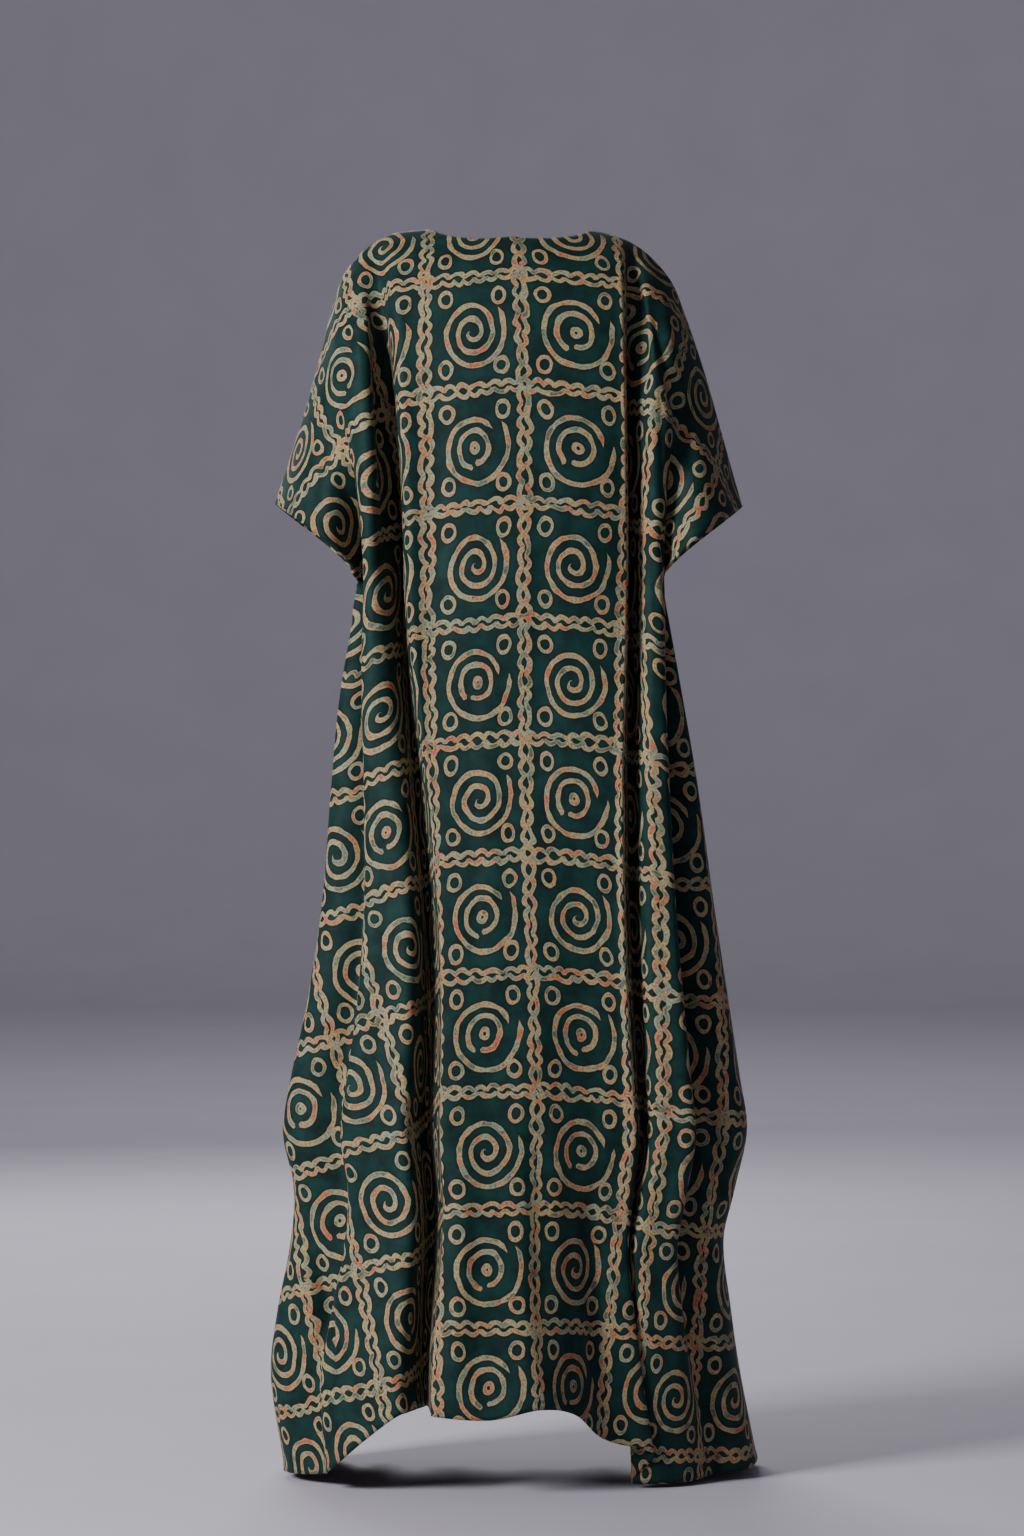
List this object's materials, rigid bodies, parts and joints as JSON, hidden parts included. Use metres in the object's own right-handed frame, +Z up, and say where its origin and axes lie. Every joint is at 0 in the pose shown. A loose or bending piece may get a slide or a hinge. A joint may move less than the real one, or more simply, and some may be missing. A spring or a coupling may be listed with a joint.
{
  "type": "batik kaftan maxi dress",
  "caption": "Floor-length kaftan of printed batik cotton, hollow and hanging as worn, with wide elbow-length sleeves cut in one with the panels.",
  "frame": {"origin": "on the wearer's shoulder line, midway between the shoulders, where the kaftan is held up", "axes": "+Z up along the wearer, -Y the way the wearer faces, +X to the wearer's left"},
  "size_m": [0.6267, 0.4022, 1.5933],
  "materials": {
    "batik_cotton": "soft matt printed cotton"
  },
  "bodies": {
    "root": {"back_panel": "batik_cotton", "front_panel": "batik_cotton"}
  },
  "joints": []
}
